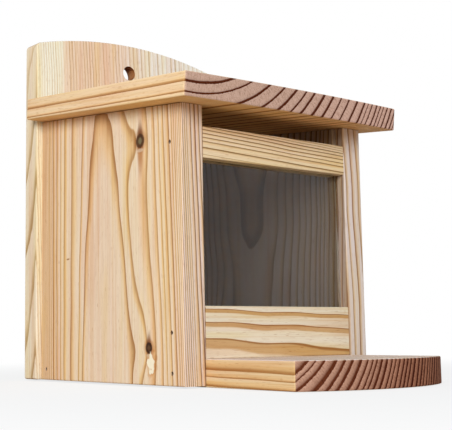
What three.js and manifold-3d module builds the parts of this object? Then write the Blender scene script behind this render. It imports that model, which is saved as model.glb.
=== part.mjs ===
// Squirrel feeder box: a small larch hopper that hangs on a wall or a tree.
// Lengths are in millimetres. X runs across the front, Y from the front to the wall, Z up.
// The origin lies under the middle of the whole feeder, level with the underside of the floor board.

import * as THREE from 'three';
import { mergeVertices } from 'three/addons/utils/BufferGeometryUtils.js';
import Module from 'manifold-3d';

// The planed boards
const boardThickness = 20;
const lidThickness = 18;
const easedEdge = 1;
const plainCorner = 1.6;

// The box
const innerWidth = 148;
const sideDepth = 200;
const frontHeight = 205;
const roofRise = 20;
const sideLift = 1;

// The back board
const backOverhang = 5;
const backAboveSides = 84.5;
const backBow = 13;
const backCornerRadius = 4;
const hangHoleRadius = 6.8;
const hangHoleDrop = 26.5;
const hangHoleFlareReach = 6;
const hangHoleFlareDepth = 9;

// The floor board, which runs out in front as a tray
const trayReach = 90;
const trayBow = 20;

// The rails and the feeding gap over them
const feedingGap = 15;
const topRailHeight = 24;
const bottomRailHeight = 38;

// The clear pane and its groove
const paneThickness = 3;
const paneSetback = 10;
const grooveDepth = 5;
const paneClearance = 0.3;

// The lid
const lidSideOverhang = 16;
const lidFrontOverhang = 24.5;
const lidBow = 5;
const lidSeat = 0.3;
const lidBackGap = 0.5;

// The lid's two hinges
const hingeLength = 30;
const hingeInset = 54;
const leafReach = 12;
const leafThickness = 1;
const knuckleRadius = 2.5;
const knuckleGap = 0.4;
const pinRadius = 1;
const hingeSeat = 0.3;
const knuckleShares = [0.3, 0.4, 0.3];

// The hinge screws
const hingeScrewHeadRadius = 2.3;
const hingeScrewHeadHeight = 1.5;
const hingeScrewRadius = 1.1;
const hingeScrewLength = 12;
const hingeScrewSpacing = 18;
const hingeCrossReach = 2.7;
const hingeCrossWidth = 0.6;
const hingeCrossDepth = 0.8;

// The brads through the sides
const bradHeadRadius = 1.1;
const bradHeadHeight = 0.8;
const bradRadius = 0.7;
const bradLength = 34;
const bradSink = 0.8;
const bradSetback = 14;
const bradFromBack = 9;

// The screws through the back board
const backScrewHeadRadius = 4;
const backScrewHeadHeight = 2.6;
const backScrewRadius = 2;
const backScrewLength = 42;
const backScrewSink = 0.4;
const backScrewFromEnd = 38;
const backScrewsPerSide = 3;
const backCrossReach = 4.8;
const backCrossWidth = 1;
const backCrossDepth = 1.6;

// What fasteners and cutters share
const fastenerClearance = 0.3;
const pointLength = 2.5;
const overrun = 2;

// Places that follow from the sizes
const outerWidth = innerWidth + 2 * boardThickness;
const backHeight = frontHeight + roofRise;
const roofSlope = Math.atan2(roofRise, sideDepth);
const overallDepth = trayReach + trayBow + sideDepth + boardThickness;
const frontY = trayReach + trayBow - overallDepth / 2;
const backY = frontY + sideDepth;
const wallY = backY + boardThickness;
const backBoardTop = backHeight + backAboveSides;
const topRailTop = frontHeight - feedingGap;
const topRailBottom = topRailTop - topRailHeight;
const bottomRailTop = boardThickness + bottomRailHeight;
const grooveWidth = paneThickness + 2 * paneClearance;
const lidWidth = outerWidth + 2 * lidSideOverhang;
const hingeX = lidWidth / 2 - hingeInset - hingeLength / 2;
const hingeY = backY - hingeSeat - knuckleRadius;
const lidStack = lidSeat + lidThickness + hingeSeat + knuckleRadius;
const hingeZ = frontHeight + (hingeY - frontY) * Math.tan(roofSlope) + lidStack / Math.cos(roofSlope);

// Numbers of steps in the round forms
const bowSteps = 28;
const cornerSteps = 3;
const edgeSteps = 2;
const roundSteps = 16;
const holeSteps = 28;

const wasm = await Module();
wasm.setup();

const woodColours = {
  back: 0xe6c79a,
  side: 0xd9a974,
  floor: 0xcf9c62,
  lid: 0xd19a5c,
  topRail: 0xe3c98d,
  bottomRail: 0xe8d3a4,
};

function wood(colour) {
  return new THREE.MeshStandardMaterial({ color: colour, roughness: 0.75, metalness: 0 });
}

function clearPlastic() {
  return new THREE.MeshStandardMaterial({
    color: 0xeaf4f2, roughness: 0.05, metalness: 0, transparent: true, opacity: 0.25,
  });
}

function zincSteel() {
  return new THREE.MeshStandardMaterial({ color: 0xb9bab6, roughness: 0.35, metalness: 1 });
}

function darkSteel() {
  return new THREE.MeshStandardMaterial({ color: 0x6d665e, roughness: 0.5, metalness: 1 });
}

// Joining and cutting

function solidOf(geometry) {
  const bare = geometry.clone();
  bare.deleteAttribute('normal');
  bare.deleteAttribute('uv');
  const welded = mergeVertices(bare);
  const corners = welded.index.array;
  const triangles = [];
  for (let i = 0; i < corners.length; i += 3) {
    const [a, b, c] = [corners[i], corners[i + 1], corners[i + 2]];
    if (a !== b && b !== c && c !== a) triangles.push(a, b, c);
  }
  return new wasm.Manifold(new wasm.Mesh({
    numProp: 3,
    vertProperties: new Float32Array(welded.attributes.position.array),
    triVerts: new Uint32Array(triangles),
  }));
}

function geometryOf(solid) {
  const mesh = solid.getMesh();
  const geometry = new THREE.BufferGeometry();
  geometry.setAttribute('position', new THREE.BufferAttribute(mesh.vertProperties, 3));
  geometry.setIndex(new THREE.BufferAttribute(mesh.triVerts, 1));
  geometry.computeVertexNormals();
  return geometry;
}

function cut(geometry, cutters) {
  return geometryOf(cutters.reduce((body, cutter) => body.subtract(solidOf(cutter)), solidOf(geometry)));
}

function join(geometries) {
  return geometryOf(geometries.map(solidOf).reduce((body, piece) => body.add(piece)));
}

// Outlines and boards

function arcPoints(centreX, centreY, radius, from, to, steps) {
  const points = [];
  for (let i = 0; i <= steps; i += 1) {
    const angle = from + (to - from) * (i / steps);
    points.push(new THREE.Vector2(centreX + radius * Math.cos(angle), centreY + radius * Math.sin(angle)));
  }
  return points;
}

// A board's outline: square at y = 0, and bowed out past y = length at its other end.
function bowedOutline(width, length, bow, corner) {
  const half = width / 2;
  const bowRadius = (half * half + bow * bow) / (2 * bow);
  const bowCentre = length + bow - bowRadius;
  const cornerX = half - corner;
  const cornerY = bowCentre + Math.sqrt((bowRadius - corner) ** 2 - cornerX ** 2);
  const tangent = Math.atan2(cornerY - bowCentre, cornerX);
  return [
    ...arcPoints(-half + plainCorner, plainCorner, plainCorner, -Math.PI, -Math.PI / 2, cornerSteps),
    ...arcPoints(half - plainCorner, plainCorner, plainCorner, -Math.PI / 2, 0, cornerSteps),
    ...arcPoints(cornerX, cornerY, corner, 0, tangent, cornerSteps),
    ...arcPoints(0, bowCentre, bowRadius, tangent, Math.PI - tangent, bowSteps).slice(1, -1),
    ...arcPoints(-cornerX, cornerY, corner, Math.PI - tangent, Math.PI, cornerSteps),
  ];
}

// A plate with that outline, from z = 0 up to its thickness, with every edge eased.
function easedPlate(outline, thickness) {
  const plate = new THREE.ExtrudeGeometry(new THREE.Shape(outline), {
    depth: thickness - 2 * easedEdge,
    bevelThickness: easedEdge,
    bevelSize: easedEdge,
    bevelOffset: -easedEdge,
    bevelSegments: edgeSteps,
  });
  return plate.translate(0, 0, easedEdge);
}

// Turns a form drawn in x and y so that x runs along Y, y along Z and its depth along X.
function acrossTheBox(geometry) {
  const turn = new THREE.Matrix4().makeBasis(
    new THREE.Vector3(0, 1, 0),
    new THREE.Vector3(0, 0, 1),
    new THREE.Vector3(1, 0, 0),
  );
  return geometry.applyMatrix4(turn);
}

// Fasteners, drawn with the head's top at the origin and the point down the Z axis

function fastener(headRadius, headHeight, shankRadius, length, taper, clearance = 0) {
  const profile = [
    [0, -length - clearance],
    [shankRadius + clearance, -length + pointLength - clearance],
    [shankRadius + clearance, -headHeight - clearance],
    [headRadius + clearance, taper ? 0 : -headHeight - clearance],
    [headRadius + clearance, clearance > 0 ? overrun : 0],
    [0, clearance > 0 ? overrun : 0],
  ];
  const shape = profile.map(([radius, height]) => new THREE.Vector2(radius, height));
  const kept = shape.filter((point, i) => i === 0 || point.distanceTo(shape[i - 1]) > 0);
  return new THREE.LatheGeometry(kept, roundSteps).rotateX(Math.PI / 2);
}

// The cutters of a cross recess in a screw's head
function crossRecess(reach, width, depth) {
  return [0, Math.PI / 2].map((turn) => new THREE.BoxGeometry(reach, width, 2 * depth).rotateZ(turn));
}

function hingeScrew(clearance) {
  const blank = fastener(
    hingeScrewHeadRadius, hingeScrewHeadHeight, hingeScrewRadius, hingeScrewLength, true, clearance,
  );
  if (clearance) return blank;
  return cut(blank, crossRecess(hingeCrossReach, hingeCrossWidth, hingeCrossDepth));
}

function brad(clearance) {
  return fastener(bradHeadRadius, bradHeadHeight, bradRadius, bradLength, false, clearance);
}

function backScrew(clearance) {
  const blank = fastener(
    backScrewHeadRadius, backScrewHeadHeight, backScrewRadius, backScrewLength, true, clearance,
  );
  if (clearance) return blank;
  return cut(blank, crossRecess(backCrossReach, backCrossWidth, backCrossDepth));
}

function frame(x, y, z, turnX = 0, turnY = 0) {
  const matrix = new THREE.Matrix4().makeRotationFromEuler(new THREE.Euler(turnX, turnY, 0));
  return matrix.setPosition(x, y, z);
}

// Every brad: which side it goes through, what it holds, and where
const bradPlaces = [-1, 1].flatMap((hand) => {
  const side = hand < 0 ? 'left' : 'right';
  const spots = {
    top_rail: [frontY + bradSetback, (topRailTop + topRailBottom) / 2],
    bottom_rail: [frontY + bradSetback, (bottomRailTop + boardThickness) / 2],
    floor_front: [frontY + bradSetback, boardThickness / 2],
    floor_back: [backY - bradFromBack, boardThickness / 2],
  };
  return Object.entries(spots).map(([held, [y, z]]) => ({
    name: `brad_${side}_${held}`,
    hand,
    held,
    matrix: frame(hand * (outerWidth / 2 - bradSink), y, z, 0, hand * Math.PI / 2),
  }));
});

// Every screw from the back board into the back edge of a side
const backScrewPlaces = [-1, 1].flatMap((hand) => {
  const reach = backHeight - sideLift - 2 * backScrewFromEnd;
  return Array.from({ length: backScrewsPerSide }, (_, i) => ({
    name: `back_screw_${hand < 0 ? 'left' : 'right'}_${i + 1}`,
    hand,
    matrix: frame(
      hand * (innerWidth + boardThickness) / 2,
      wallY - backScrewSink,
      sideLift + backScrewFromEnd + reach * (i / (backScrewsPerSide - 1)),
      -Math.PI / 2,
    ),
  }));
});

// A leaf lies under its own frame's X axis, which is the hinge pin, and reaches towards -Y.
const leafScrewPlaces = [-1, 1].map((hand) => frame(
  hand * hingeScrewSpacing / 2,
  -(leafReach + knuckleRadius + knuckleGap) / 2,
  leafThickness - knuckleRadius,
));

// The lid's leaf follows the roof, and the other leaf stands against the back board.
const backLeafTurn = [-Math.PI / 2, Math.PI];

function cuttersAt(cutter, matrices) {
  return matrices.map((matrix) => cutter(fastenerClearance).applyMatrix4(matrix));
}

// The boards

function backBoard() {
  const outline = bowedOutline(
    outerWidth + 2 * backOverhang,
    backBoardTop - sideLift - backBow,
    backBow,
    backCornerRadius,
  );
  const board = easedPlate(outline, boardThickness)
    .rotateX(Math.PI / 2)
    .translate(0, wallY, sideLift);
  const holeZ = backBoardTop - hangHoleDrop;
  const hangHole = new THREE.CylinderGeometry(
    hangHoleRadius, hangHoleRadius, boardThickness + 2 * overrun, holeSteps,
  ).translate(0, (backY + wallY) / 2, holeZ);
  const flareLength = hangHoleFlareDepth + overrun;
  const flareRadius = hangHoleRadius + flareLength * hangHoleFlareReach / hangHoleFlareDepth;
  const flare = new THREE.CylinderGeometry(flareRadius, hangHoleRadius, flareLength, holeSteps)
    .translate(0, wallY + overrun - flareLength / 2, holeZ);
  const leafScrews = [-1, 1].flatMap((hand) => leafScrewPlaces.map(
    (place) => frame(hand * hingeX, hingeY, hingeZ, ...backLeafTurn).multiply(place),
  ));
  return cut(board, [
    hangHole,
    flare,
    ...cuttersAt(hingeScrew, leafScrews),
    ...cuttersAt(backScrew, backScrewPlaces.map((place) => place.matrix)),
  ]);
}

function sidePanel(hand) {
  const outline = [
    new THREE.Vector2(frontY, sideLift),
    new THREE.Vector2(backY, sideLift),
    new THREE.Vector2(backY, backHeight),
    new THREE.Vector2(frontY, frontHeight),
  ];
  const panel = acrossTheBox(easedPlate(outline, boardThickness))
    .translate(hand < 0 ? -outerWidth / 2 : innerWidth / 2, 0, 0);
  const groove = new THREE.BoxGeometry(2 * grooveDepth, grooveWidth, backHeight + 2 * overrun)
    .translate(hand * innerWidth / 2, frontY + paneSetback, backHeight / 2);
  const brads = bradPlaces.filter((place) => place.hand === hand).map((place) => place.matrix);
  const screws = backScrewPlaces.filter((place) => place.hand === hand).map((place) => place.matrix);
  return cut(panel, [groove, ...cuttersAt(brad, brads), ...cuttersAt(backScrew, screws)]);
}

function floorBoard() {
  const length = trayReach + sideDepth;
  const board = easedPlate(bowedOutline(innerWidth, length, trayBow, plainCorner), boardThickness)
    .rotateX(Math.PI)
    .translate(0, backY, boardThickness);
  const brads = bradPlaces.filter((place) => place.held.startsWith('floor'));
  return cut(board, cuttersAt(brad, brads.map((place) => place.matrix)));
}

// A rail's section in Y and Z, with a groove in its top edge; it is turned over for the top rail.
function grooveSection(height) {
  const grooveFront = paneSetback - grooveWidth / 2;
  const grooveBack = paneSetback + grooveWidth / 2;
  return [
    ...arcPoints(easedEdge, easedEdge, easedEdge, -Math.PI, -Math.PI / 2, cornerSteps),
    ...arcPoints(boardThickness - easedEdge, easedEdge, easedEdge, -Math.PI / 2, 0, cornerSteps),
    ...arcPoints(boardThickness - easedEdge, height - easedEdge, easedEdge, 0, Math.PI / 2, cornerSteps),
    new THREE.Vector2(grooveBack, height),
    new THREE.Vector2(grooveBack, height - grooveDepth),
    new THREE.Vector2(grooveFront, height - grooveDepth),
    new THREE.Vector2(grooveFront, height),
    ...arcPoints(easedEdge, height - easedEdge, easedEdge, Math.PI / 2, Math.PI, cornerSteps),
  ];
}

function rail(held, bottom, height, grooveUp) {
  const section = grooveSection(height).map((point) => new THREE.Vector2(
    frontY + point.x,
    grooveUp ? bottom + point.y : bottom + height - point.y,
  ));
  const shape = new THREE.Shape(grooveUp ? section : section.reverse());
  const bar = acrossTheBox(new THREE.ExtrudeGeometry(shape, { depth: innerWidth, bevelEnabled: false }))
    .translate(-innerWidth / 2, 0, 0);
  const brads = bradPlaces.filter((place) => place.held === held);
  return cut(bar, cuttersAt(brad, brads.map((place) => place.matrix)));
}

function windowPane() {
  const reach = grooveDepth - paneClearance;
  const height = topRailBottom - bottomRailTop + 2 * reach;
  return new THREE.BoxGeometry(innerWidth + 2 * reach, paneThickness, height)
    .translate(0, frontY + paneSetback, (topRailBottom + bottomRailTop) / 2);
}

// The lid is drawn in its hinges' frame, square to the roof.
const lidTop = -knuckleRadius - hingeSeat;
const lidUnderside = lidTop - lidThickness;
const lidBack = (backY - lidBackGap - hingeY + lidUnderside * Math.sin(roofSlope)) / Math.cos(roofSlope);
const lidFront = -(hingeY - frontY) / Math.cos(roofSlope) - lidStack * Math.tan(roofSlope) - lidFrontOverhang;

function lidBoard() {
  const outline = bowedOutline(lidWidth, lidBack - lidFront, lidBow, plainCorner);
  const board = easedPlate(outline, lidThickness)
    .rotateX(Math.PI)
    .translate(0, lidBack, lidTop);
  const leafScrews = [-1, 1].flatMap((hand) => leafScrewPlaces.map(
    (place) => frame(hand * hingeX, 0, 0).multiply(place),
  ));
  return cut(board, cuttersAt(hingeScrew, leafScrews));
}

// The hinges

// A leaf with the knuckles of the given turns, 0 for the outer pair and 1 for the middle one.
function hingeLeaf(turn) {
  const near = knuckleRadius + knuckleGap;
  const pieces = [
    new THREE.BoxGeometry(hingeLength, leafReach - near, leafThickness)
      .translate(0, -(leafReach + near) / 2, leafThickness / 2 - knuckleRadius),
  ];
  let start = -hingeLength / 2;
  knuckleShares.forEach((share, i) => {
    const width = share * hingeLength;
    if (i % 2 === turn) {
      const from = start + (i > 0 ? knuckleGap / 2 : 0);
      const to = start + width - (i < knuckleShares.length - 1 ? knuckleGap / 2 : 0);
      const neckReach = near + leafThickness;
      pieces.push(
        new THREE.CylinderGeometry(knuckleRadius, knuckleRadius, to - from, roundSteps)
          .rotateZ(Math.PI / 2)
          .rotateX(Math.PI / roundSteps)
          .translate((from + to) / 2, 0, 0),
        new THREE.BoxGeometry(to - from, neckReach, leafThickness)
          .translate((from + to) / 2, -neckReach / 2, leafThickness / 2 - knuckleRadius),
      );
    }
    start += width;
  });
  const bore = pinRod(pinRadius + fastenerClearance, hingeLength + 2 * overrun);
  return cut(join(pieces), [bore, ...cuttersAt(hingeScrew, leafScrewPlaces)]);
}

function pinRod(radius, length) {
  return new THREE.CylinderGeometry(radius, radius, length, roundSteps).rotateZ(Math.PI / 2);
}

function named(name, geometry, material) {
  const mesh = new THREE.Mesh(geometry, material);
  mesh.name = name;
  return mesh;
}

function placed(object, matrix) {
  matrix.decompose(object.position, object.quaternion, object.scale);
  return object;
}

// One leaf of a hinge with its two screws, in the leaf's own frame
function leafGroup(name, turn) {
  const group = new THREE.Group();
  group.add(named(name, hingeLeaf(turn), zincSteel()));
  leafScrewPlaces.forEach((place, i) => {
    group.add(placed(named(`${name}_screw_${i + 1}`, hingeScrew(), zincSteel()), place));
  });
  return group;
}

const feeder = new THREE.Group();

feeder.add(
  named('back_board', backBoard(), wood(woodColours.back)),
  named('left_side', sidePanel(-1), wood(woodColours.side)),
  named('right_side', sidePanel(1), wood(woodColours.side)),
  named('floor_board', floorBoard(), wood(woodColours.floor)),
  named('top_rail', rail('top_rail', topRailBottom, topRailHeight, false), wood(woodColours.topRail)),
  named(
    'bottom_rail', rail('bottom_rail', boardThickness, bottomRailHeight, true), wood(woodColours.bottomRail),
  ),
  named('window_pane', windowPane(), clearPlastic()),
);
for (const place of bradPlaces) {
  feeder.add(placed(named(place.name, brad(), darkSteel()), place.matrix));
}
for (const place of backScrewPlaces) {
  feeder.add(placed(named(place.name, backScrew(), zincSteel()), place.matrix));
}

const lid = new THREE.Group();
lid.position.set(0, hingeY, hingeZ);
lid.rotation.x = roofSlope;
lid.add(named('lid', lidBoard(), wood(woodColours.lid)));
feeder.add(lid);

for (const [hand, side] of [[-1, 'left'], [1, 'right']]) {
  const lidLeaf = leafGroup(`${side}_hinge_lid_leaf`, 1);
  lidLeaf.position.x = hand * hingeX;
  lid.add(lidLeaf);

  const backLeaf = leafGroup(`${side}_hinge_back_leaf`, 0);
  backLeaf.position.set(hand * hingeX, hingeY, hingeZ);
  backLeaf.rotation.set(...backLeafTurn, 0);
  feeder.add(backLeaf);

  const pin = named(`${side}_hinge_pin`, pinRod(pinRadius, hingeLength), zincSteel());
  pin.position.set(hand * hingeX, hingeY, hingeZ);
  feeder.add(pin);
}

export default feeder;
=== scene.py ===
# Squirrel feeder box of larch boards: the finishes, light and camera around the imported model.
# Lengths in the wood's values and in the boards' tables are in millimetres, and all others in metres.

import math
from types import SimpleNamespace

import bpy
from mathutils import Matrix, Vector


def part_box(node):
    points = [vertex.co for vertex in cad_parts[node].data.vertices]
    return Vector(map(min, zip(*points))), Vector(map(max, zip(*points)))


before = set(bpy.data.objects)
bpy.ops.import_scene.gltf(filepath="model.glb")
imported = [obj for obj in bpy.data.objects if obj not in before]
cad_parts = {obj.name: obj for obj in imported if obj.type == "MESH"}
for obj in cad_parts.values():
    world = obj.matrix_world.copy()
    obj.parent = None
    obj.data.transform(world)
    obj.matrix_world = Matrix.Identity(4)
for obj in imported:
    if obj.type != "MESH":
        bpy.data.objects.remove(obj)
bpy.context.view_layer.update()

MILLIMETRES = 1000.0


def tint(red, green, blue):
    """A colour as it looks on a screen, from 0 to 255, as the linear one that shaders take."""

    def linear(value):
        share = value / 255
        return share / 12.92 if share <= 0.04045 else ((share + 0.055) / 1.055) ** 2.4

    return (linear(red), linear(green), linear(blue), 1.0)


class Tree:
    """A node tree, with a short way to add each kind of node that is used here."""

    def __init__(self, node_tree):
        self.nodes = node_tree.nodes
        self.links = node_tree.links

    def put(self, value, socket):
        if isinstance(value, bpy.types.NodeSocket):
            self.links.new(value, socket)
        else:
            socket.default_value = value

    def maths(self, operation, *values, clamp=False):
        node = self.nodes.new("ShaderNodeMath")
        node.operation = operation
        node.use_clamp = clamp
        for i, value in enumerate(values):
            self.put(value, node.inputs[i])
        return node.outputs[0]

    def vector(self, operation, *values):
        node = self.nodes.new("ShaderNodeVectorMath")
        node.operation = operation
        for i, value in enumerate(values):
            self.put(value, node.inputs[i])
        return node.outputs["Value" if operation in ("DOT_PRODUCT", "LENGTH") else "Vector"]

    def scaled(self, vector, factor):
        node = self.nodes.new("ShaderNodeVectorMath")
        node.operation = "SCALE"
        self.put(vector, node.inputs[0])
        self.put(factor, node.inputs["Scale"])
        return node.outputs["Vector"]

    def joined(self, x, y, z):
        node = self.nodes.new("ShaderNodeCombineXYZ")
        for i, value in enumerate((x, y, z)):
            self.put(value, node.inputs[i])
        return node.outputs[0]

    def step(self, value, start, end, low=0.0, high=1.0):
        """A smooth change from low to high as the value goes from start to end."""
        node = self.nodes.new("ShaderNodeMapRange")
        node.interpolation_type = "SMOOTHSTEP"
        for i, each in enumerate((value, start, end, low, high)):
            self.put(each, node.inputs[i])
        return node.outputs[0]

    def fade(self, value, start, full, strength):
        """A smooth change from nothing at the start to the strength where it is full."""
        return self.step(value, start, full, 0.0, strength)

    def either_way(self, value, size):
        """A value from 0 to 1 turned into one from minus the size to plus the size."""
        return self.maths("MULTIPLY_ADD", value, 2 * size, -size)

    def mixed(self, share, first, second, blend="MIX"):
        node = self.nodes.new("ShaderNodeMix")
        node.data_type = "RGBA"
        node.blend_type = blend
        self.put(share, node.inputs["Factor"])
        self.put(first, node.inputs[6])
        self.put(second, node.inputs[7])
        return node.outputs[2]

    def filtered(self, share, colour, filter_colour):
        return self.mixed(share, colour, self.mixed(1.0, colour, filter_colour, "MULTIPLY"))

    def noise(self, place, waves, detail=2.0, roughness=0.5):
        """Noise with so many waves in a unit of length, which may differ each way."""
        node = self.nodes.new("ShaderNodeTexNoise")
        node.inputs["Scale"].default_value = 1.0
        node.inputs["Detail"].default_value = detail
        node.inputs["Roughness"].default_value = roughness
        if isinstance(waves, tuple):
            self.put(self.vector("MULTIPLY", place, waves), node.inputs["Vector"])
        else:
            self.put(self.scaled(place, waves), node.inputs["Vector"])
        return node.outputs["Fac"]

    def drift(self, place):
        """Smooth noise along a line."""
        node = self.nodes.new("ShaderNodeTexNoise")
        node.noise_dimensions = "1D"
        node.inputs["Scale"].default_value = 1.0
        node.inputs["Detail"].default_value = 1.0
        self.put(place, node.inputs["W"])
        return node.outputs["Fac"]

    def chance(self, number):
        """One random value for each whole number."""
        node = self.nodes.new("ShaderNodeTexWhiteNoise")
        node.noise_dimensions = "1D"
        self.put(number, node.inputs["W"])
        return node.outputs["Value"]

    def curve(self, value, points):
        """Straight lines between the points, from 0 to 1 each way."""
        node = self.nodes.new("ShaderNodeFloatCurve")
        line = node.mapping.curves[0]
        while len(line.points) > 2:
            line.points.remove(line.points[1])
        line.points[0].location = points[0]
        line.points[1].location = points[-1]
        for point in points[1:-1]:
            line.points.new(*point)
        for point in line.points:
            point.handle_type = "VECTOR"
        node.mapping.update()
        self.put(value, node.inputs["Value"])
        return node.outputs[0]

    def bands(self, value, stops):
        """A colour for each value from 0 to 1, blended between the stops."""
        node = self.nodes.new("ShaderNodeValToRGB")
        ramp = node.color_ramp
        ramp.interpolation = "EASE"
        while len(ramp.elements) > 1:
            ramp.elements.remove(ramp.elements[1])
        ramp.elements[0].position = stops[0][0]
        ramp.elements[0].color = stops[0][1]
        for position, colour in stops[1:]:
            ramp.elements.new(position).color = colour
        self.put(value, node.inputs[0])
        return node.outputs[0]

    def object_place(self):
        """The place in the model's own axes and the direction that the surface faces."""
        node = self.nodes.new("ShaderNodeTexCoord")
        return node.outputs["Object"], node.outputs["Normal"]

    def shaders_mixed(self, share, first, second):
        node = self.nodes.new("ShaderNodeMixShader")
        for i, each in enumerate((share, first, second)):
            self.links.new(each, node.inputs[i])
        return node.outputs[0]


class Sheet(Tree):
    """The node tree of one material."""

    def __init__(self, name):
        self.material = bpy.data.materials.new(name)
        self.material.use_nodes = True
        super().__init__(self.material.node_tree)
        self.shader = self.nodes["Principled BSDF"]

    def shade(self, socket, value):
        """Gives a value to one of the shader's own sockets."""
        self.put(value, self.shader.inputs[socket])

    def bump(self, height, distance):
        node = self.nodes.new("ShaderNodeBump")
        node.inputs["Distance"].default_value = distance
        self.put(height, node.inputs["Height"])
        self.shade("Normal", node.outputs[0])


# The wood's grain. Each kind has its number of waves in a millimetre across, deep and along the grain, and
# the rays of the end grain have theirs in a radian round the heart and in a millimetre outward.
FIBRE_WAVES = (1.7, 1.7, 0.035)
SPECK_WAVES = (1.1, 1.1, 1.1)
RIPPLE_WAVES = (0.13, 0.13, 0.02)
CLOUD_WAVES = (0.09, 0.09, 0.007)
STREAK_WAVES = (0.5, 0.5, 0.005)
DASH_WAVES = (2.2, 2.2, 0.16)
RAY_WAVES = (130.0, 0.2, 1.0)
SWAY_WAVES = 0.014
BOARD_SEED = 37.0
SWAY_SEED = 5

# How far the ripple and the ragged cut move the rings to either side. The sway's noise stays near its middle,
# so the sway of each board is taken twice.
RIPPLE_SIZE = 0.35
RAGGED_SIZE = 0.6
SWAY_SHARE = 2

# The rings' swelling at a knot: how far beside it the middle is, its width, and the half length over which
# its reach changes from the one below to the one above.
SWELL_ASIDE = 3.0
SWELL_WIDTH = 14.0
SWELL_TURN = 5.0

# Parts of a ring, from 0 at the inner edge of its dark wood to 1 at the outer edge
HONEY_START, HONEY_FULL = -1.0, 0.3
LATE_START = -0.1
RIM_FULL = 0.85
FALL_START, FALL_END = 0.9, 1.0

# How much narrower or wider than its table says a ring's dark wood may be
LATE_LEAST, LATE_MOST = 0.85, 1.15

# How squarely a surface has to look one way before it counts as facing it, and where it fully does
TURNED, SQUARE = 0.5, 0.8

# The width in which the painted shade on a bore's wall or on the hopper's inside comes in
SOFT_EDGE = 0.5

# Where a noise starts to show, where it is full, and how strongly it then filters the colour
ROSE_CLOUD = (0.52, 0.68, 1.0)
GOLD_CLOUD = (0.48, 0.34, 1.0)
DASH = (0.7, 0.8, 0.5)
ROSE = tint(251, 243, 240)
GOLD = tint(254, 251, 236)
DASH_BROWN = tint(206, 172, 140)
STREAK_STOPS = [(0.32, tint(248, 238, 226)), (0.5, tint(254, 253, 251)), (0.68, tint(255, 252, 255))]
FIBRE_STOPS = [(0.3, tint(240, 233, 226)), (0.5, tint(253, 252, 251)), (0.7, tint(255, 255, 255))]
GRIT_STOPS = [(0.36, tint(200, 186, 178)), (0.5, tint(244, 239, 236)), (0.6, tint(255, 255, 255))]

# How much of the end grain's grit the rays and the specks make up
RAY_SHARE, SPECK_SHARE = 0.4, 0.6

# The wall of a bore is where the surface turns away from the level face.
LEVEL, STEEP = 0.9, 0.7

# The bruise round a brad: where it starts, where it is full and how strong it is. It is longer up and down.
BRUISE = (1.5, 0.9, 0.8)
BRUISE_SQUEEZE = (0.0, 1.0, 0.75)
BRUISE_BROWN = tint(96, 64, 42)

# A knot and torn grain, in shares of their radii: where each ring of colour starts, where it is full, and
# how strong it is there
KNOT_HALO = (2.1, 1.0, 0.7)
KNOT_RIM = (1.2, 0.9, 0.92)
KNOT_CENTRE = (0.65, 0.25, 0.95)
TORN_HALO = (2.4, 1.0, 0.7)
TORN_WOOD = (1.2, 0.7, 0.9)
HALO_BROWN = tint(206, 168, 128)

# The edge of torn grain comes in and goes out by lobes, and that of a knot with the fibre.
LOBE_WAVES = 0.22
LOBE_SIZE = 1.5
KNOT_UNEVEN = 0.5
KNOT_WAVY = 0.5

# The painted highlight under a knot, a pale crescent, with its drop and its own radii in shares of the knot's
CRESCENT = (1.2, 0.5, 0.4)
CRESCENT_DROP = 1.35
CRESCENT_SHARES = (0.95, 0.3)
CRESCENT_HIGHLIGHT = tint(238, 222, 196)

# The dark plumes over and under a knot: their widths at the knot and at the tip and their soft root in
# shares of its radii, and the core where they are full in shares of their own width and length
PLUME_WIDTHS = (1.1, 0.5)
PLUME_ROOT = 0.5
PLUME_CORE = 0.3
PLUME_STRENGTH = 0.9
PLUME_ABOVE = tint(150, 112, 82)
PLUME_BELOW = tint(206, 164, 118)

# The wood's gloss, which changes with its fibre, and its relief, which is in metres
FIBRE_LOW, FIBRE_HIGH = 0.3, 0.7
SMOOTH, ROUGH = 0.56, 0.7
END_ROUGHER = 0.2
WOOD_GLOSS = 0.08
LATE_RELIEF = 0.5
WOOD_RELIEF = 0.0001

# The lid lies along the sloping tops of the sides, from their front edges.
ROOF_RISE = 20
SIDE_DEPTH = 200
SIDES_FRONT = -55
LID_UNDERSIDE = 205.3
LID_HEART_RISE = 96.4
ROOF_SLOPE = math.atan2(ROOF_RISE, SIDE_DEPTH)
SLOPE_SINE = math.sin(ROOF_SLOPE)
SLOPE_COSINE = math.cos(ROOF_SLOPE)

# The boards. Each one is sawn from a log whose heart line runs along the grain through a point, which is
# given in the model's own axes. A deep direction shorter than 1 makes the rings oval.
# Lean is how far the rings shift across and deep for each millimetre along the grain, and sway how far they
# wander from that. Drift holds two distances from the heart and how far aside the rings sit there, and twist
# how much their lean across differs between the two sides of the heart.
# The yearly rings are counted outward from the heart: rings lists pairs of a radius and the count that is
# reached there, and late the share of a ring's width that its dark wood takes at a radius.
# Halo is how much honey colour the pale wood takes just before the dark wood, and rise how far into the dark
# wood its amber takes to come up.
# Edge is where in the dark wood its brown outer line starts, and faint how dark the palest ring is.
# Zones are the pale colours at distances across from the heart. Amber and brown are what the dark wood
# filters out of them, at its middle and at its outer edge.
# Faces change the pale colour, by a share, and the dark wood's filter where the board looks one way.
# Three of them are painted light: shade on the right side's inner face, sheen on the floor board's top
# over its pinkish tone, and warm bounce light on the lid's underside.
# End holds the pale and dark colours of the end grain at two radii, and ramp how much it darkens before
# the dark wood.
# Knots and torn grain have a place, and their radii beside and along the grain. Bulge is how far the rings
# bow out round a knot, swell how far above and below it they do, and plume how long the dark wood above and
# below it is.
# Bore is a hole whose wall is painted darker as painted shade, and indoors the part of a board
# that is inside the hopper, whose forward face is painted browner as painted shade.

HONEY = tint(253, 234, 196)
AMBER = tint(222, 208, 194)
BROWN = tint(214, 200, 188)
END_GRAIN = [(60, tint(196, 164, 142), tint(126, 84, 62)), (260, tint(186, 152, 130), tint(110, 70, 50))]

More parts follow.
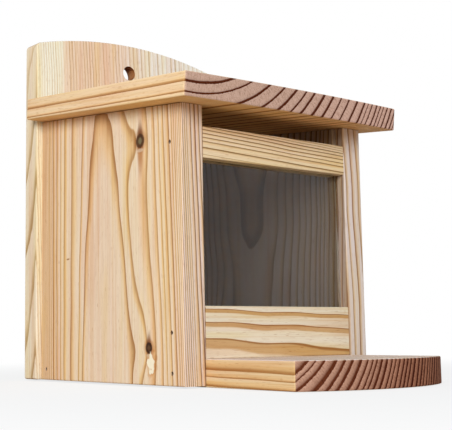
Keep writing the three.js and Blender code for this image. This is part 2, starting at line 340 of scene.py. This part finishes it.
BOARDS = {
    "left_side": {
        "grain": (0, 0, 1),
        "across": (0, 1, 0),
        "deep": (1, 0, 0),
        "heart": (-191, 43.6, 113),
        "lean": (-0.025, 0.0325),
        "twist": 0.02,
        "drift": (32, 56, -3.2, 2.4),
        "sway": 0.12,
        "rings": [
            (88.0, 0), (100.7, 1), (103.8, 2), (111.6, 3), (117.6, 4), (121.1, 5), (124.8, 6), (128.8, 7),
            (131.0, 8), (132.8, 9), (134.2, 10), (135.6, 11), (137.0, 12), (142.4, 16), (151.3, 19),
            (170.0, 25),
        ],
        "late": [
            (88.0, 0.06), (100.7, 0.075), (103.8, 0.5), (111.6, 0.34), (117.6, 0.3), (124.8, 0.34),
            (129.0, 0.4), (170.0, 0.46),
        ],
        "halo": 0.9,
        "rise": 0.7,
        "edge": 0.3,
        "faint": 0.7,
        "ramp": 0.12,
        "zones": [
            (-100, tint(239, 219, 195)),
            (-64, tint(240, 219, 191)),
            (-40, tint(238, 220, 194)),
            (0, tint(236, 213, 188)),
            (44, tint(241, 221, 196)),
            (67, tint(242, 220, 192)),
            (75, tint(235, 206, 174)),
            (102, tint(235, 208, 176)),
        ],
        "amber": AMBER,
        "brown": BROWN,
        "faces": [((0, -1, 0), tint(239, 222, 213), 0.9, tint(188, 172, 163))],
        "end": END_GRAIN,
        "knots": [
            {
                "place": (-94, -3.7, 184.5),
                "radii": (4.6, 5.4),
                "bulge": 4.8,
                "swell": (36, 26),
                "plume": (20, 36),
                "rim": tint(70, 44, 26),
                "centre": tint(120, 108, 78),
            },
            {
                "place": (-94, -13.0, 28.1),
                "radii": (3.4, 4.0),
                "bulge": 4.0,
                "swell": (46, 20),
                "plume": (15, 6),
                "rim": tint(50, 32, 22),
                "centre": tint(98, 74, 52),
            },
        ],
        "torn": [
            {
                "place": (-94, -15.4, 17.4),
                "radii": (3.0, 6.6),
                "colour": tint(250, 242, 216),
                "around": tint(228, 192, 146),
            },
            {
                "place": (-94, 100.3, 101),
                "radii": (1.6, 0.5),
                "colour": tint(150, 108, 74),
                "around": tint(236, 216, 190),
            },
        ],
    },
    "right_side": {
        "grain": (0, 0, 1),
        "across": (0, 1, 0),
        "deep": (1, 0, 0),
        "heart": (169, 60, 113),
        "lean": (0.0, 0.037),
        "sway": 0.6,
        "rings": [(70.0, 0), (100.0, 6), (125.0, 12), (131.0, 14), (151.0, 19), (175.0, 26)],
        "late": [(70.0, 0.3), (175.0, 0.36)],
        "halo": 0.8,
        "rise": 0.7,
        "edge": 0.3,
        "faint": 0.7,
        "ramp": 0.12,
        "zones": [
            (-120, tint(242, 224, 200)),
            (0, tint(238, 216, 190)),
            (60, tint(238, 214, 182)),
            (90, tint(234, 204, 170)),
        ],
        "amber": AMBER,
        "brown": BROWN,
        "faces": [
            ((0, -1, 0), tint(232, 221, 217), 0.9, tint(208, 189, 172)),
            # Painted shade: the inner face, turned to the hopper, is made darker and greyer.
            ((-1, 0, 0), tint(170, 152, 138), 1.0, tint(198, 178, 160)),
        ],
        "end": END_GRAIN,
        "knots": [
            {
                "place": (94, 98, 44),
                "radii": (4.0, 5.2),
                "bulge": 4.6,
                "swell": (30, 26),
                "plume": (18, 24),
                "rim": tint(72, 46, 28),
                "centre": tint(118, 90, 62),
            },
        ],
    },
    "back_board": {
        "grain": (0, 0, 1),
        "across": (1, 0, 0),
        "deep": (0, 1, 0),
        "heart": (170, 193, 150),
        "lean": (0.035, 0.0),
        "sway": 0.5,
        "rings": [(40.0, 0), (86.0, 10), (150.0, 23), (180.0, 30), (200.0, 36), (245.0, 51), (285.0, 67)],
        "late": [(40.0, 0.4), (170.0, 0.4), (200.0, 0.34), (285.0, 0.34)],
        "halo": 0.25,
        "rise": 0.7,
        "edge": 0.3,
        "faint": 0.3,
        "ramp": 0.12,
        "zones": [
            (-270, tint(248, 242, 222)),
            (-256, tint(252, 251, 237)),
            (-244, tint(250, 247, 230)),
            (-239, tint(245, 224, 202)),
            (-194, tint(245, 219, 195)),
            (-170, tint(247, 233, 222)),
            (-140, tint(249, 246, 240)),
            (-80, tint(250, 250, 244)),
        ],
        "amber": tint(234, 224, 212),
        "brown": tint(228, 216, 204),
        "faces": [((-1, 0, 0), tint(236, 220, 193), 0.8, tint(224, 213, 194))],
        "end": END_GRAIN,
        "knots": [],
        # The hopper's inside gets painted shade: a browner filter on the back board's forward face.
        "indoor_shade": {"beside": 74, "below": 225, "colour": tint(255, 226, 188)},
        # The hanging hole's wall gets painted shade: a darker filter.
        "bore": {"centre": (0, 155, 283), "axis": (0, 1, 0), "radius": 13, "colour": tint(186, 140, 106)},
    },
    "floor_board": {
        "grain": (0, 1, 0),
        "across": (1, 0, 0),
        "deep": (0, 0, 0.8),
        "heart": (-110.6, -160, 75.6),
        "lean": (0.0, -0.0167),
        "sway": 0.15,
        "rings": [
            (56.0, -1), (63.9, 0), (67.0, 1), (71.6, 2), (78.2, 3), (83.1, 4), (88.0, 5), (93.6, 6),
            (98.2, 7), (102.0, 8), (105.2, 9), (109.4, 10), (113.9, 11), (118.1, 12), (121.3, 13),
            (125.5, 14), (130.0, 15), (133.9, 16), (137.7, 17), (142.6, 18), (147.9, 19), (152.6, 20),
            (156.3, 21), (160.9, 22), (164.7, 23), (168.9, 24), (173.8, 25), (178.5, 26), (200.0, 31),
        ],
        "late": [(56.0, 0.42), (100.0, 0.5), (150.0, 0.54), (200.0, 0.56)],
        "halo": 0.6,
        "rise": 0.8,
        "edge": 0.3,
        "faint": 0.8,
        "ramp": 0.4,
        "zones": [(0, tint(242, 214, 176)), (40, tint(242, 214, 176)), (200, tint(240, 212, 180))],
        "amber": tint(214, 196, 180),
        "brown": tint(206, 188, 174),
        "faces": [
            # The top's near-white tint is partly the board's pinkish tone and partly painted sheen from
            # grazing light.
            ((0, 0, 1), tint(252, 245, 247), 1.0, tint(222, 206, 196)),
            ((-1, 0, 0), tint(231, 204, 162), 1.0, tint(214, 194, 172)),
        ],
        "end": [(70, tint(198, 156, 134), tint(98, 48, 26)), (150, tint(188, 131, 103), tint(68, 20, 6))],
        "knots": [],
    },
    "lid": {
        "grain": (0, SLOPE_COSINE, SLOPE_SINE),
        "across": (1, 0, 0),
        "deep": (0, -SLOPE_SINE, SLOPE_COSINE),
        "heart": (
            -101.6,
            SIDES_FRONT - LID_HEART_RISE * SLOPE_SINE,
            LID_UNDERSIDE + LID_HEART_RISE * SLOPE_COSINE,
        ),
        "lean": (0.0, 0.0066),
        "sway": 0.1,
        "rings": [
            (76.0, -1), (87.0, 0), (94.3, 1), (105.2, 2), (115.0, 3), (124.4, 4), (132.2, 5), (139.5, 6),
            (148.7, 7), (157.0, 8), (164.7, 9), (172.7, 10), (181.8, 11), (190.2, 12), (193.9, 13),
            (198.6, 14), (204.4, 15), (208.4, 16), (212.0, 17), (216.8, 18), (222.2, 19), (226.6, 20),
            (236.0, 23),
        ],
        "late": [
            (76.0, 0.22), (94.3, 0.22), (115.0, 0.22), (132.2, 0.26), (190.2, 0.25), (193.9, 0.33),
            (236.0, 0.33),
        ],
        "halo": 0.5,
        "rise": 0.3,
        "edge": 0.1,
        "faint": 0.85,
        "ramp": 0.2,
        "zones": [(0, tint(242, 214, 174)), (200, tint(240, 210, 172))],
        "amber": tint(218, 200, 182),
        "brown": tint(208, 188, 168),
        # Painted bounce light: the underside's warm orange tint stands for warm light bounced up into its
        # shade.
        "faces": [((0, 0, -1), tint(247, 208, 153), 1.0, tint(204, 183, 162))],
        "end": [(88, tint(206, 174, 157), tint(86, 37, 16)), (212, tint(228, 190, 174), tint(94, 50, 33))],
        "knots": [],
    },
    "top_rail": {
        "grain": (1, 0, 0),
        "across": (0, 1, 0),
        "deep": (0, 0, 1),
        "heart": (0, -20, 110),
        "lean": (0.0, 0.04),
        "sway": 0.25,
        "rings": [
            (55.0, -2), (63.8, 0), (65.9, 1), (70.5, 2), (74.6, 3), (77.1, 4), (79.7, 5), (82.3, 6),
            (84.5, 7), (95.0, 13),
        ],
        "late": [(55.0, 0.3), (74.6, 0.34), (82.3, 0.44), (95.0, 0.45)],
        "halo": 0.4,
        "rise": 0.7,
        "edge": 0.3,
        "faint": 0.55,
        "ramp": 0.12,
        "zones": [(-40, tint(242, 222, 188)), (0, tint(242, 222, 188))],
        "amber": tint(182, 167, 138),
        "brown": tint(178, 158, 129),
        "faces": [],
        "end": END_GRAIN,
        "knots": [],
    },
    "bottom_rail": {
        "grain": (1, 0, 0),
        "across": (0, 1, 0),
        "deep": (0, 0, 1),
        "heart": (0, 7, 14),
        "lean": (-0.018, 0.0),
        "sway": 0.4,
        "rings": [(35.0, -5), (58.8, 0), (64.3, 1), (69.0, 2), (73.9, 3), (79.0, 4), (90.0, 6)],
        "late": [(35.0, 0.42), (69.0, 0.42), (73.9, 0.28), (90.0, 0.3)],
        "halo": 0.35,
        "rise": 0.15,
        "edge": 0.7,
        "faint": 0.85,
        "ramp": 0.12,
        "zones": [(-70, tint(238, 227, 205)), (0, tint(238, 227, 205))],
        "amber": tint(220, 187, 143),
        "brown": tint(190, 158, 126),
        "faces": [],
        "end": END_GRAIN,
        "knots": [],
    },
}

BRAD_SIDES = {"left_side": "brad_left", "right_side": "brad_right"}


def by_radius(sheet, board, radius, table, low=0.0, high=1.0):
    """What the table of radii and values gives at that radius."""
    inner, outer = board["rings"][0][0], board["rings"][-1][0]
    share = sheet.maths("DIVIDE", sheet.maths("SUBTRACT", radius, inner), outer - inner)
    points = [((at - inner) / (outer - inner), (value - low) / (high - low)) for at, value in table]
    return sheet.maths("MULTIPLY_ADD", sheet.curve(share, points), high - low, low)


def bell(sheet, first, second):
    """A smooth bump that is 1 where both distances are 0 and fades as they reach 1 and more."""
    total = sheet.maths("ADD", sheet.maths("MULTIPLY", first, first), sheet.maths("MULTIPLY", second, second))
    return sheet.maths("EXPONENT", sheet.maths("MULTIPLY", total, -1.0))


def spot(sheet, board, place, mark):
    """How far a point is from the line of a branch: beside it, and along the grain."""
    heart = Vector(board["heart"])
    grain = Vector(board["grain"])
    centre = Vector(mark["place"])
    out = centre - heart
    out = (out - grain * out.dot(grain)).normalized()
    beside = grain.cross(out)
    offset = sheet.vector("SUBTRACT", place, centre)
    side = sheet.vector("DOT_PRODUCT", offset, beside)
    along = sheet.vector("DOT_PRODUCT", offset, grain)
    return side, along


def ellipse(sheet, side, along, radii):
    """The distance from the middle of an ellipse, where 1 is its edge."""
    share = sheet.joined(sheet.maths("DIVIDE", side, radii[0]), sheet.maths("DIVIDE", along, radii[1]), 0.0)
    return sheet.vector("LENGTH", share)


def facing(sheet, normal, direction):
    """1 where the surface looks that way."""
    return sheet.step(sheet.vector("DOT_PRODUCT", normal, direction), TURNED, SQUARE)


def trunk_place(sheet, board, seed):
    """Where each point of a board lies in its log, and the fine grain there."""
    coordinates, normal = sheet.object_place()
    place = sheet.scaled(coordinates, MILLIMETRES)
    from_heart = sheet.vector("SUBTRACT", place, board["heart"])
    along = sheet.vector("DOT_PRODUCT", from_heart, board["grain"])
    across = sheet.vector("DOT_PRODUCT", from_heart, board["across"])
    deep = sheet.vector("DOT_PRODUCT", from_heart, board["deep"])
    shifted = sheet.vector("ADD", sheet.joined(across, deep, along), (seed, 2 * seed, 3 * seed))
    endwise = sheet.maths("ABSOLUTE", sheet.vector("DOT_PRODUCT", normal, board["grain"]))
    return SimpleNamespace(
        seed=seed,
        place=place,
        normal=normal,
        along=along,
        across=across,
        deep=deep,
        shifted=shifted,
        on_end=sheet.step(endwise, TURNED, SQUARE),
        fibre=sheet.noise(shifted, FIBRE_WAVES, detail=3.0, roughness=0.65),
        speck=sheet.noise(shifted, SPECK_WAVES, detail=3.0, roughness=0.75),
        knots=[(knot, *spot(sheet, board, place, knot)) for knot in board["knots"]],
    )


def trunk_radius(sheet, board, wood):
    """The distance from the heart and the angle round it, in rings that lean, sway, wave and bulge."""
    sway = []
    for i in range(2):
        height = sheet.maths("MULTIPLY_ADD", wood.along, SWAY_WAVES, wood.seed + SWAY_SEED * i)
        sway.append(sheet.either_way(sheet.drift(height), SWAY_SHARE * board["sway"]))
    aside = wood.across
    lean, lean_deep = board["lean"]
    if "drift" in board:
        start, end, inner, outer = board["drift"]
        size = sheet.maths("ABSOLUTE", wood.across)
        aside = sheet.maths("ADD", wood.across, sheet.step(size, start, end, inner, outer))
        lean = sheet.step(wood.across, -start, start, lean + board["twist"], lean - board["twist"])
    u = sheet.maths("ADD", sheet.maths("MULTIPLY_ADD", wood.along, lean, aside), sway[0])
    v = sheet.maths("ADD", sheet.maths("MULTIPLY_ADD", wood.along, lean_deep, wood.deep), sway[1])
    radius = sheet.vector("LENGTH", sheet.joined(u, v, 0.0))
    ripple = sheet.noise(wood.shifted, RIPPLE_WAVES, detail=1.0)
    radius = sheet.maths("ADD", radius, sheet.either_way(ripple, RIPPLE_SIZE))
    ragged = sheet.maths("MULTIPLY", sheet.either_way(wood.speck, RAGGED_SIZE), wood.on_end)
    radius = sheet.maths("ADD", radius, ragged)
    for knot, side, up in wood.knots:
        above, below = knot["swell"]
        beside = sheet.maths("DIVIDE", sheet.maths("SUBTRACT", side, SWELL_ASIDE), SWELL_WIDTH)
        reach = sheet.step(up, -SWELL_TURN, SWELL_TURN, below, above)
        swell = bell(sheet, beside, sheet.maths("DIVIDE", up, reach))
        radius = sheet.maths("MULTIPLY_ADD", swell, -knot["bulge"], radius)
    return radius, sheet.maths("ARCTAN2", v, u)


def yearly_rings(sheet, board, radius, seed):
    """How strong the honey, the dark wood and its brown outer line are at that radius."""
    counts = [count for _, count in board["rings"]]
    count = by_radius(sheet, board, radius, board["rings"], counts[0], counts[-1])
    luck = sheet.chance(sheet.maths("ADD", sheet.maths("FLOOR", count), seed))
    growth = sheet.maths("FRACT", count)
    late_share = by_radius(sheet, board, radius, board["late"])
    late_share = sheet.maths("MULTIPLY", late_share, sheet.step(luck, 0.0, 1.0, LATE_LEAST, LATE_MOST))
    band = sheet.maths("ADD", sheet.maths("DIVIDE", sheet.maths("SUBTRACT", growth, 1.0), late_share), 1.0)
    fall = sheet.step(band, FALL_START, FALL_END, 1.0, 0.0)
    honey = sheet.maths("MULTIPLY", sheet.step(band, HONEY_START, HONEY_FULL), fall)
    late = sheet.maths("MULTIPLY", sheet.step(band, LATE_START, board["rise"]), fall)
    rim = sheet.maths("MULTIPLY", sheet.step(band, board["edge"], RIM_FULL), fall)
    weight = sheet.step(luck, 0.0, 1.0, board["faint"], 1.0)
    return honey, sheet.maths("MULTIPLY", late, weight), sheet.maths("MULTIPLY", rim, weight)


def pale_wood(sheet, board, wood):
    """The pale wood of the faces along the grain, with the two filters of the dark wood there."""
    zones = board["zones"]
    low, high = zones[0][0], zones[-1][0]
    zone = sheet.maths("DIVIDE", sheet.maths("SUBTRACT", wood.across, low), high - low)
    pale = sheet.bands(zone, [((at - low) / (high - low), colour) for at, colour in zones])
    amber, brown = board["amber"], board["brown"]
    # Some faces entries paint light: shade, sheen and warm bounce light.
    for direction, colour, share, dark in board["faces"]:
        looking = facing(sheet, wood.normal, direction)
        pale = sheet.mixed(sheet.maths("MULTIPLY", looking, share), pale, colour)
        amber = sheet.mixed(looking, amber, dark)
        brown = sheet.mixed(looking, brown, dark)
    # Painted shade on the forward face inside the hopper
    if "indoor_shade" in board:
        pale = painted_indoor_shade(sheet, pale, wood, board["indoor_shade"])
    cloud = sheet.noise(wood.shifted, CLOUD_WAVES, detail=1.0)
    pale = sheet.filtered(sheet.fade(cloud, *ROSE_CLOUD), pale, ROSE)
    pale = sheet.filtered(sheet.fade(cloud, *GOLD_CLOUD), pale, GOLD)
    streak = sheet.noise(wood.shifted, STREAK_WAVES)
    return sheet.filtered(1.0, pale, sheet.bands(streak, STREAK_STOPS)), amber, brown


def painted_indoor_shade(sheet, pale, wood, indoor_shade):
    """Painted shade: the forward face inside the hopper is filtered browner than outside, to stand for its
    shade.
    """
    beside = sheet.maths("ABSOLUTE", sheet.vector("DOT_PRODUCT", wood.place, (1, 0, 0)))
    height = sheet.vector("DOT_PRODUCT", wood.place, (0, 0, 1))
    between = sheet.step(beside, indoor_shade["beside"] + SOFT_EDGE, indoor_shade["beside"])
    under = sheet.step(height, indoor_shade["below"], indoor_shade["below"] - 2 * SOFT_EDGE)
    forward = facing(sheet, wood.normal, (0, -1, 0))
    within = sheet.maths("MULTIPLY", sheet.maths("MULTIPLY", between, under), forward)
    return sheet.filtered(within, pale, indoor_shade["colour"])


def long_grain(sheet, name, board, wood, honey, late, rim):
    """The colour of the faces along the grain."""
    pale, amber, brown = pale_wood(sheet, board, wood)
    pale = sheet.filtered(sheet.maths("MULTIPLY", honey, board["halo"]), pale, HONEY)
    face = sheet.filtered(late, pale, amber)
    face = sheet.filtered(rim, face, brown)
    face = sheet.filtered(1.0, face, sheet.bands(wood.fibre, FIBRE_STOPS))
    dash = sheet.noise(wood.shifted, DASH_WAVES, detail=0.0)
    face = sheet.filtered(sheet.fade(dash, *DASH), face, DASH_BROWN)
    for knot, side, up in wood.knots:
        face = knotted(sheet, face, knot, side, up, wood.fibre)
    for tear in board.get("torn", []):
        face = torn(sheet, face, tear, board, wood.place)
    if name in BRAD_SIDES:
        face = brad_marks(sheet, face, wood.place, BRAD_SIDES[name])
    return face


def end_grain(sheet, board, wood, radius, turn, honey, late):
    """The colour of the sawn ends, and their grit."""
    (near, near_pale, near_dark), (far, far_pale, far_dark) = board["end"]
    outward = sheet.step(radius, near, far)
    pale = sheet.mixed(outward, near_pale, far_pale)
    dark = sheet.mixed(outward, near_dark, far_dark)
    rays = sheet.noise(sheet.joined(turn, radius, wood.seed), RAY_WAVES, roughness=0.6)
    grit = sheet.maths("MULTIPLY_ADD", rays, RAY_SHARE, sheet.maths("MULTIPLY", wood.speck, SPECK_SHARE))
    darkness = sheet.maths("MULTIPLY_ADD", honey, board["ramp"], late, clamp=True)
    end = sheet.mixed(darkness, pale, dark)
    return sheet.filtered(1.0, end, sheet.bands(grit, GRIT_STOPS)), grit


def painted_bore_shade(sheet, colour, wood, bore):
    """Painted shade: the wall of a hole is filtered darker."""
    outward = sheet.vector("SUBTRACT", wood.place, bore["centre"])
    outward = sheet.vector("CROSS_PRODUCT", outward, bore["axis"])
    near = sheet.step(sheet.vector("LENGTH", outward), bore["radius"] + SOFT_EDGE, bore["radius"])
    level = sheet.maths("ABSOLUTE", sheet.vector("DOT_PRODUCT", wood.normal, bore["axis"]))
    inside = sheet.maths("MULTIPLY", near, sheet.step(level, LEVEL, STEEP))
    return sheet.filtered(inside, colour, bore["colour"])


def larch(name):
    """Planed larch for one board, with its rings running through the wood from face to end grain."""
    board = BOARDS[name]
    sheet = Sheet(name + "_larch")
    wood = trunk_place(sheet, board, BOARD_SEED * (1 + list(BOARDS).index(name)))
    radius, turn = trunk_radius(sheet, board, wood)
    honey, late, rim = yearly_rings(sheet, board, radius, wood.seed)
    face = long_grain(sheet, name, board, wood, honey, late, rim)
    end, grit = end_grain(sheet, board, wood, radius, turn, honey, late)
    colour = sheet.mixed(wood.on_end, face, end)
    # Painted shade on the hanging hole's wall
    if "bore" in board:
        colour = painted_bore_shade(sheet, colour, wood, board["bore"])
    sheet.shade("Base Color", colour)
    roughness = sheet.step(wood.fibre, FIBRE_LOW, FIBRE_HIGH, SMOOTH, ROUGH)
    sheet.shade("Roughness", sheet.maths("MULTIPLY_ADD", wood.on_end, END_ROUGHER, roughness))
    sheet.shade("Specular IOR Level", WOOD_GLOSS)
    on_face = sheet.maths("SUBTRACT", 1.0, wood.on_end)
    height = sheet.maths("ADD", sheet.maths("MULTIPLY", wood.fibre, on_face),
                         sheet.maths("MULTIPLY", grit, wood.on_end))
    sheet.bump(sheet.maths("MULTIPLY_ADD", late, LATE_RELIEF, height), WOOD_RELIEF)
    return sheet.material


def knotted(sheet, face, knot, side, up, fibre):
    """A knot: dark plumes along the grain, a dark uneven rim, and its own wood in the middle.

    Under it a pale crescent is a painted highlight.
    """
    beside_radius, up_radius = knot["radii"]
    uneven = sheet.either_way(fibre, KNOT_UNEVEN)
    beside = sheet.maths("ABSOLUTE", sheet.maths("ADD", side, uneven))
    above, below = knot["plume"]
    for reach, way, dark in ((above, 1.0, PLUME_ABOVE), (below, -1.0, PLUME_BELOW)):
        height = sheet.maths("MULTIPLY", up, way)
        root, tip = (share * beside_radius for share in PLUME_WIDTHS)
        width = sheet.step(height, 0.0, reach, root, tip)
        across = sheet.step(sheet.maths("DIVIDE", beside, width), 1.0, PLUME_CORE)
        lengthwise = sheet.fade(height, reach, PLUME_CORE * reach, PLUME_STRENGTH)
        start = sheet.step(height, -PLUME_ROOT * up_radius, PLUME_ROOT * up_radius)
        plume = sheet.maths("MULTIPLY", sheet.maths("MULTIPLY", across, lengthwise), start)
        face = sheet.filtered(plume, face, dark)
    away = sheet.maths("MULTIPLY_ADD", uneven, KNOT_WAVY, ellipse(sheet, side, up, knot["radii"]))
    face = sheet.filtered(sheet.fade(away, *KNOT_HALO), face, HALO_BROWN)
    # Painted highlight: a pale crescent under the knot
    lower = sheet.maths("ADD", up, CRESCENT_DROP * up_radius)
    radii = (CRESCENT_SHARES[0] * beside_radius, CRESCENT_SHARES[1] * up_radius)
    crescent = ellipse(sheet, side, lower, radii)
    face = sheet.mixed(sheet.fade(crescent, *CRESCENT), face, CRESCENT_HIGHLIGHT)
    face = sheet.mixed(sheet.fade(away, *KNOT_RIM), face, knot["rim"])
    return sheet.mixed(sheet.fade(away, *KNOT_CENTRE), face, knot["centre"])


def torn(sheet, face, tear, board, place):
    """A patch of torn grain with an uneven edge."""
    side, up = spot(sheet, board, place, tear)
    uneven = sheet.either_way(sheet.noise(place, LOBE_WAVES, detail=1.0), LOBE_SIZE)
    away = sheet.maths("ADD", ellipse(sheet, side, up, tear["radii"]), uneven)
    face = sheet.filtered(sheet.fade(away, *TORN_HALO), face, tear["around"])
    return sheet.mixed(sheet.fade(away, *TORN_WOOD), face, tear["colour"])


def brad_marks(sheet, face, place, brads):
    """The small dark bruise in the wood round each brad."""
    for node in sorted(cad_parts):
        if not node.startswith(brads):
            continue
        low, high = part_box(node)
        centre = (Vector(low) + Vector(high)) * (MILLIMETRES / 2)
        offset = sheet.vector("MULTIPLY", sheet.vector("SUBTRACT", place, centre), BRUISE_SQUEEZE)
        face = sheet.mixed(sheet.fade(sheet.vector("LENGTH", offset), *BRUISE), face, BRUISE_BROWN)
    return face


# The steel's plate: its waves in a metre, where its spots start and end, how much smoother and rougher they
# are than the steel's own roughness, and their height
PLATE_WAVES = 900.0
SPOT_LOW, SPOT_HIGH = 0.35, 0.65
GLOSS_LOW, GLOSS_HIGH = 0.3, 0.7
SMOOTHER, ROUGHER = 0.06, 0.08
PLATE_RELIEF = 0.00003


def steel(name, colour, worn, roughness):
    """Steel with a slightly uneven plate, which goes from one colour to the other."""
    sheet = Sheet(name)
    coordinates, _ = sheet.object_place()
    spots = sheet.noise(coordinates, PLATE_WAVES, detail=3.0)
    sheet.shade("Base Color", sheet.mixed(sheet.step(spots, SPOT_LOW, SPOT_HIGH), colour, worn))
    uneven = sheet.step(spots, GLOSS_LOW, GLOSS_HIGH, roughness - SMOOTHER, roughness + ROUGHER)
    sheet.shade("Roughness", uneven)
    sheet.shade("Metallic", 1.0)
    sheet.bump(spots, PLATE_RELIEF)
    return sheet.material


# The acrylic: the waves of its haze in a metre, and its roughness where it is clearest and haziest
HAZE_WAVES = 60.0
HAZE_LOW, HAZE_HIGH = 0.3, 0.7
CLEAR, HAZY = 0.02, 0.06
ACRYLIC_INDEX = 1.49
ACRYLIC_GLOSS = 0.12
ACRYLIC_REFLECTION = (0.35, 0.35, 0.35, 1.0)


def acrylic():
    """The clear pane."""
    sheet = Sheet("clear_acrylic")
    coordinates, _ = sheet.object_place()
    haze = sheet.noise(coordinates, HAZE_WAVES)
    sheet.shade("Base Color", tint(251, 253, 252))
    sheet.shade("Roughness", sheet.step(haze, HAZE_LOW, HAZE_HIGH, CLEAR, HAZY))
    sheet.shade("IOR", ACRYLIC_INDEX)
    sheet.shade("Transmission Weight", 1.0)
    sheet.shade("Specular IOR Level", ACRYLIC_GLOSS)
    sheet.shade("Specular Tint", ACRYLIC_REFLECTION)
    return sheet.material


def dress(node, material):
    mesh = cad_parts[node].data
    mesh.materials.clear()
    mesh.materials.append(material)


for board in BOARDS:
    dress(board, larch(board))

zinc = steel("hinge_steel", tint(196, 196, 190), tint(214, 212, 204), roughness=0.34)
screws = steel("screw_steel", tint(206, 202, 190), tint(214, 212, 204), roughness=0.3)
dull = steel("brad_steel", tint(56, 42, 32), tint(44, 34, 28), roughness=0.6)
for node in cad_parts:
    if node.startswith("brad"):
        dress(node, dull)
    elif "screw" in node:
        dress(node, screws)
    elif "hinge" in node:
        dress(node, zinc)
dress("window_pane", acrylic())


# The floor, the light and the camera

FLOOR_HALF = 6.0
FLOOR_DROP = 0.0004
PAPER = (0.9, 0.9, 0.9, 1.0)
PAPER_BOUNCE = (0.54, 0.43, 0.33, 1.0)
WHITE_START, WHITE_FULL = 0.2, 0.8
WHITE_LEAST = 0.76
WHITE = (1.0, 1.0, 1.0, 1.0)
AMBIENT = (0.93, 0.975, 1.0, 1.0)
AMBIENT_STRENGTH = 0.42
KEY_PLACE = (-1.95, -1.6, 0.85)
KEY_SIZE = 1.2
KEY_POWER = 58.5
KEY_COLOUR = (0.95, 0.98, 1.0)
KEY_AIM = (0, 0, 0.12)
CAMERA_PLACE = (-0.53894, -0.62751, 0.03738)
CAMERA_YAW, CAMERA_PITCH, CAMERA_ROLL = -0.650611, 0.122840, 0.011799
PHOTO_WIDTH, PHOTO_HEIGHT = 452, 430
FOCAL_PIXELS = 1020.626
CENTRE_X, CENTRE_Y = 172, 209
SENSOR_WIDTH = 36
NEAREST = 0.01


def seen_directly(tree):
    """1 for rays that show the background: from the camera, in a reflection or through the pane.

    Rays that matt surfaces send on are left out, so that the background doesn't light the wood.
    """
    rays = tree.nodes.new("ShaderNodeLightPath").outputs
    shows = tree.maths("MAXIMUM", rays["Is Camera Ray"], rays["Is Glossy Ray"])
    shows = tree.maths("MAXIMUM", shows, rays["Is Transmission Ray"])
    return tree.maths("MULTIPLY", shows, tree.maths("LESS_THAN", rays["Diffuse Depth"], 0.5))


def paper():
    """Pale card that runs out into plain white and keeps a soft shadow near the feeder."""
    sheet = Sheet("paper")
    coordinates, _ = sheet.object_place()
    seen = seen_directly(sheet)
    white = sheet.step(sheet.vector("LENGTH", coordinates), WHITE_START, WHITE_FULL, WHITE_LEAST, 1.0)
    card = sheet.nodes.new("ShaderNodeBsdfDiffuse")
    sheet.put(sheet.mixed(seen, PAPER_BOUNCE, PAPER), card.inputs["Color"])
    glow = sheet.nodes.new("ShaderNodeEmission")
    both = sheet.shaders_mixed(sheet.maths("MULTIPLY", seen, white), card.outputs[0], glow.outputs[0])
    sheet.put(both, sheet.nodes["Material Output"].inputs[0])
    sheet.nodes.remove(sheet.shader)
    return sheet.material


def floor():
    mesh = bpy.data.meshes.new("floor")
    corners = [(x * FLOOR_HALF, y * FLOOR_HALF, -FLOOR_DROP) for x, y in ((-1, -1), (1, -1), (1, 1), (-1, 1))]
    mesh.from_pydata(corners, [], [(0, 1, 2, 3)])
    mesh.materials.append(paper())
    plane = bpy.data.objects.new("floor", mesh)
    bpy.context.scene.collection.objects.link(plane)


def sky():
    """Soft even light on the object, and plain white behind it."""
    world = bpy.data.worlds.new("studio")
    bpy.context.scene.world = world
    world.use_nodes = True
    tree = Tree(world.node_tree)
    tree.nodes.clear()

    def background(colour, strength):
        node = tree.nodes.new("ShaderNodeBackground")
        node.inputs["Color"].default_value = colour
        node.inputs["Strength"].default_value = strength
        return node.outputs[0]

    ambient = background(AMBIENT, AMBIENT_STRENGTH)
    both = tree.shaders_mixed(seen_directly(tree), ambient, background(WHITE, 1.0))
    tree.put(both, tree.nodes.new("ShaderNodeOutputWorld").inputs[0])


def key_lamp():
    light = bpy.data.lights.new("key", "AREA")
    light.shape = "DISK"
    light.size = KEY_SIZE
    light.energy = KEY_POWER
    light.color = KEY_COLOUR
    holder = bpy.data.objects.new("key", light)
    bpy.context.scene.collection.objects.link(holder)
    holder.location = KEY_PLACE
    aim = Vector(KEY_AIM) - Vector(KEY_PLACE)
    holder.rotation_mode = "QUATERNION"
    holder.rotation_quaternion = aim.to_track_quat("-Z", "Y")


def photo_camera():
    """The photo's own camera, fitted to the corners of the box."""
    data = bpy.data.cameras.new("camera")
    data.sensor_width = SENSOR_WIDTH
    data.lens = FOCAL_PIXELS * SENSOR_WIDTH / PHOTO_WIDTH
    data.shift_x = (PHOTO_WIDTH / 2 - CENTRE_X) / PHOTO_WIDTH
    data.shift_y = (CENTRE_Y - PHOTO_HEIGHT / 2) / PHOTO_WIDTH
    data.clip_start = NEAREST
    holder = bpy.data.objects.new("camera", data)
    yaw = Matrix.Rotation(CAMERA_YAW, 4, "Z")
    pitch = Matrix.Rotation(CAMERA_PITCH, 4, "X")
    roll = Matrix.Rotation(CAMERA_ROLL, 4, "Y")
    upright = Matrix.Rotation(math.pi / 2, 4, "X")
    holder.matrix_world = Matrix.Translation(CAMERA_PLACE) @ yaw @ pitch @ roll @ upright
    bpy.context.scene.collection.objects.link(holder)
    bpy.context.scene.camera = holder


floor()
sky()
key_lamp()
photo_camera()
bpy.context.scene.view_settings.view_transform = "Standard"
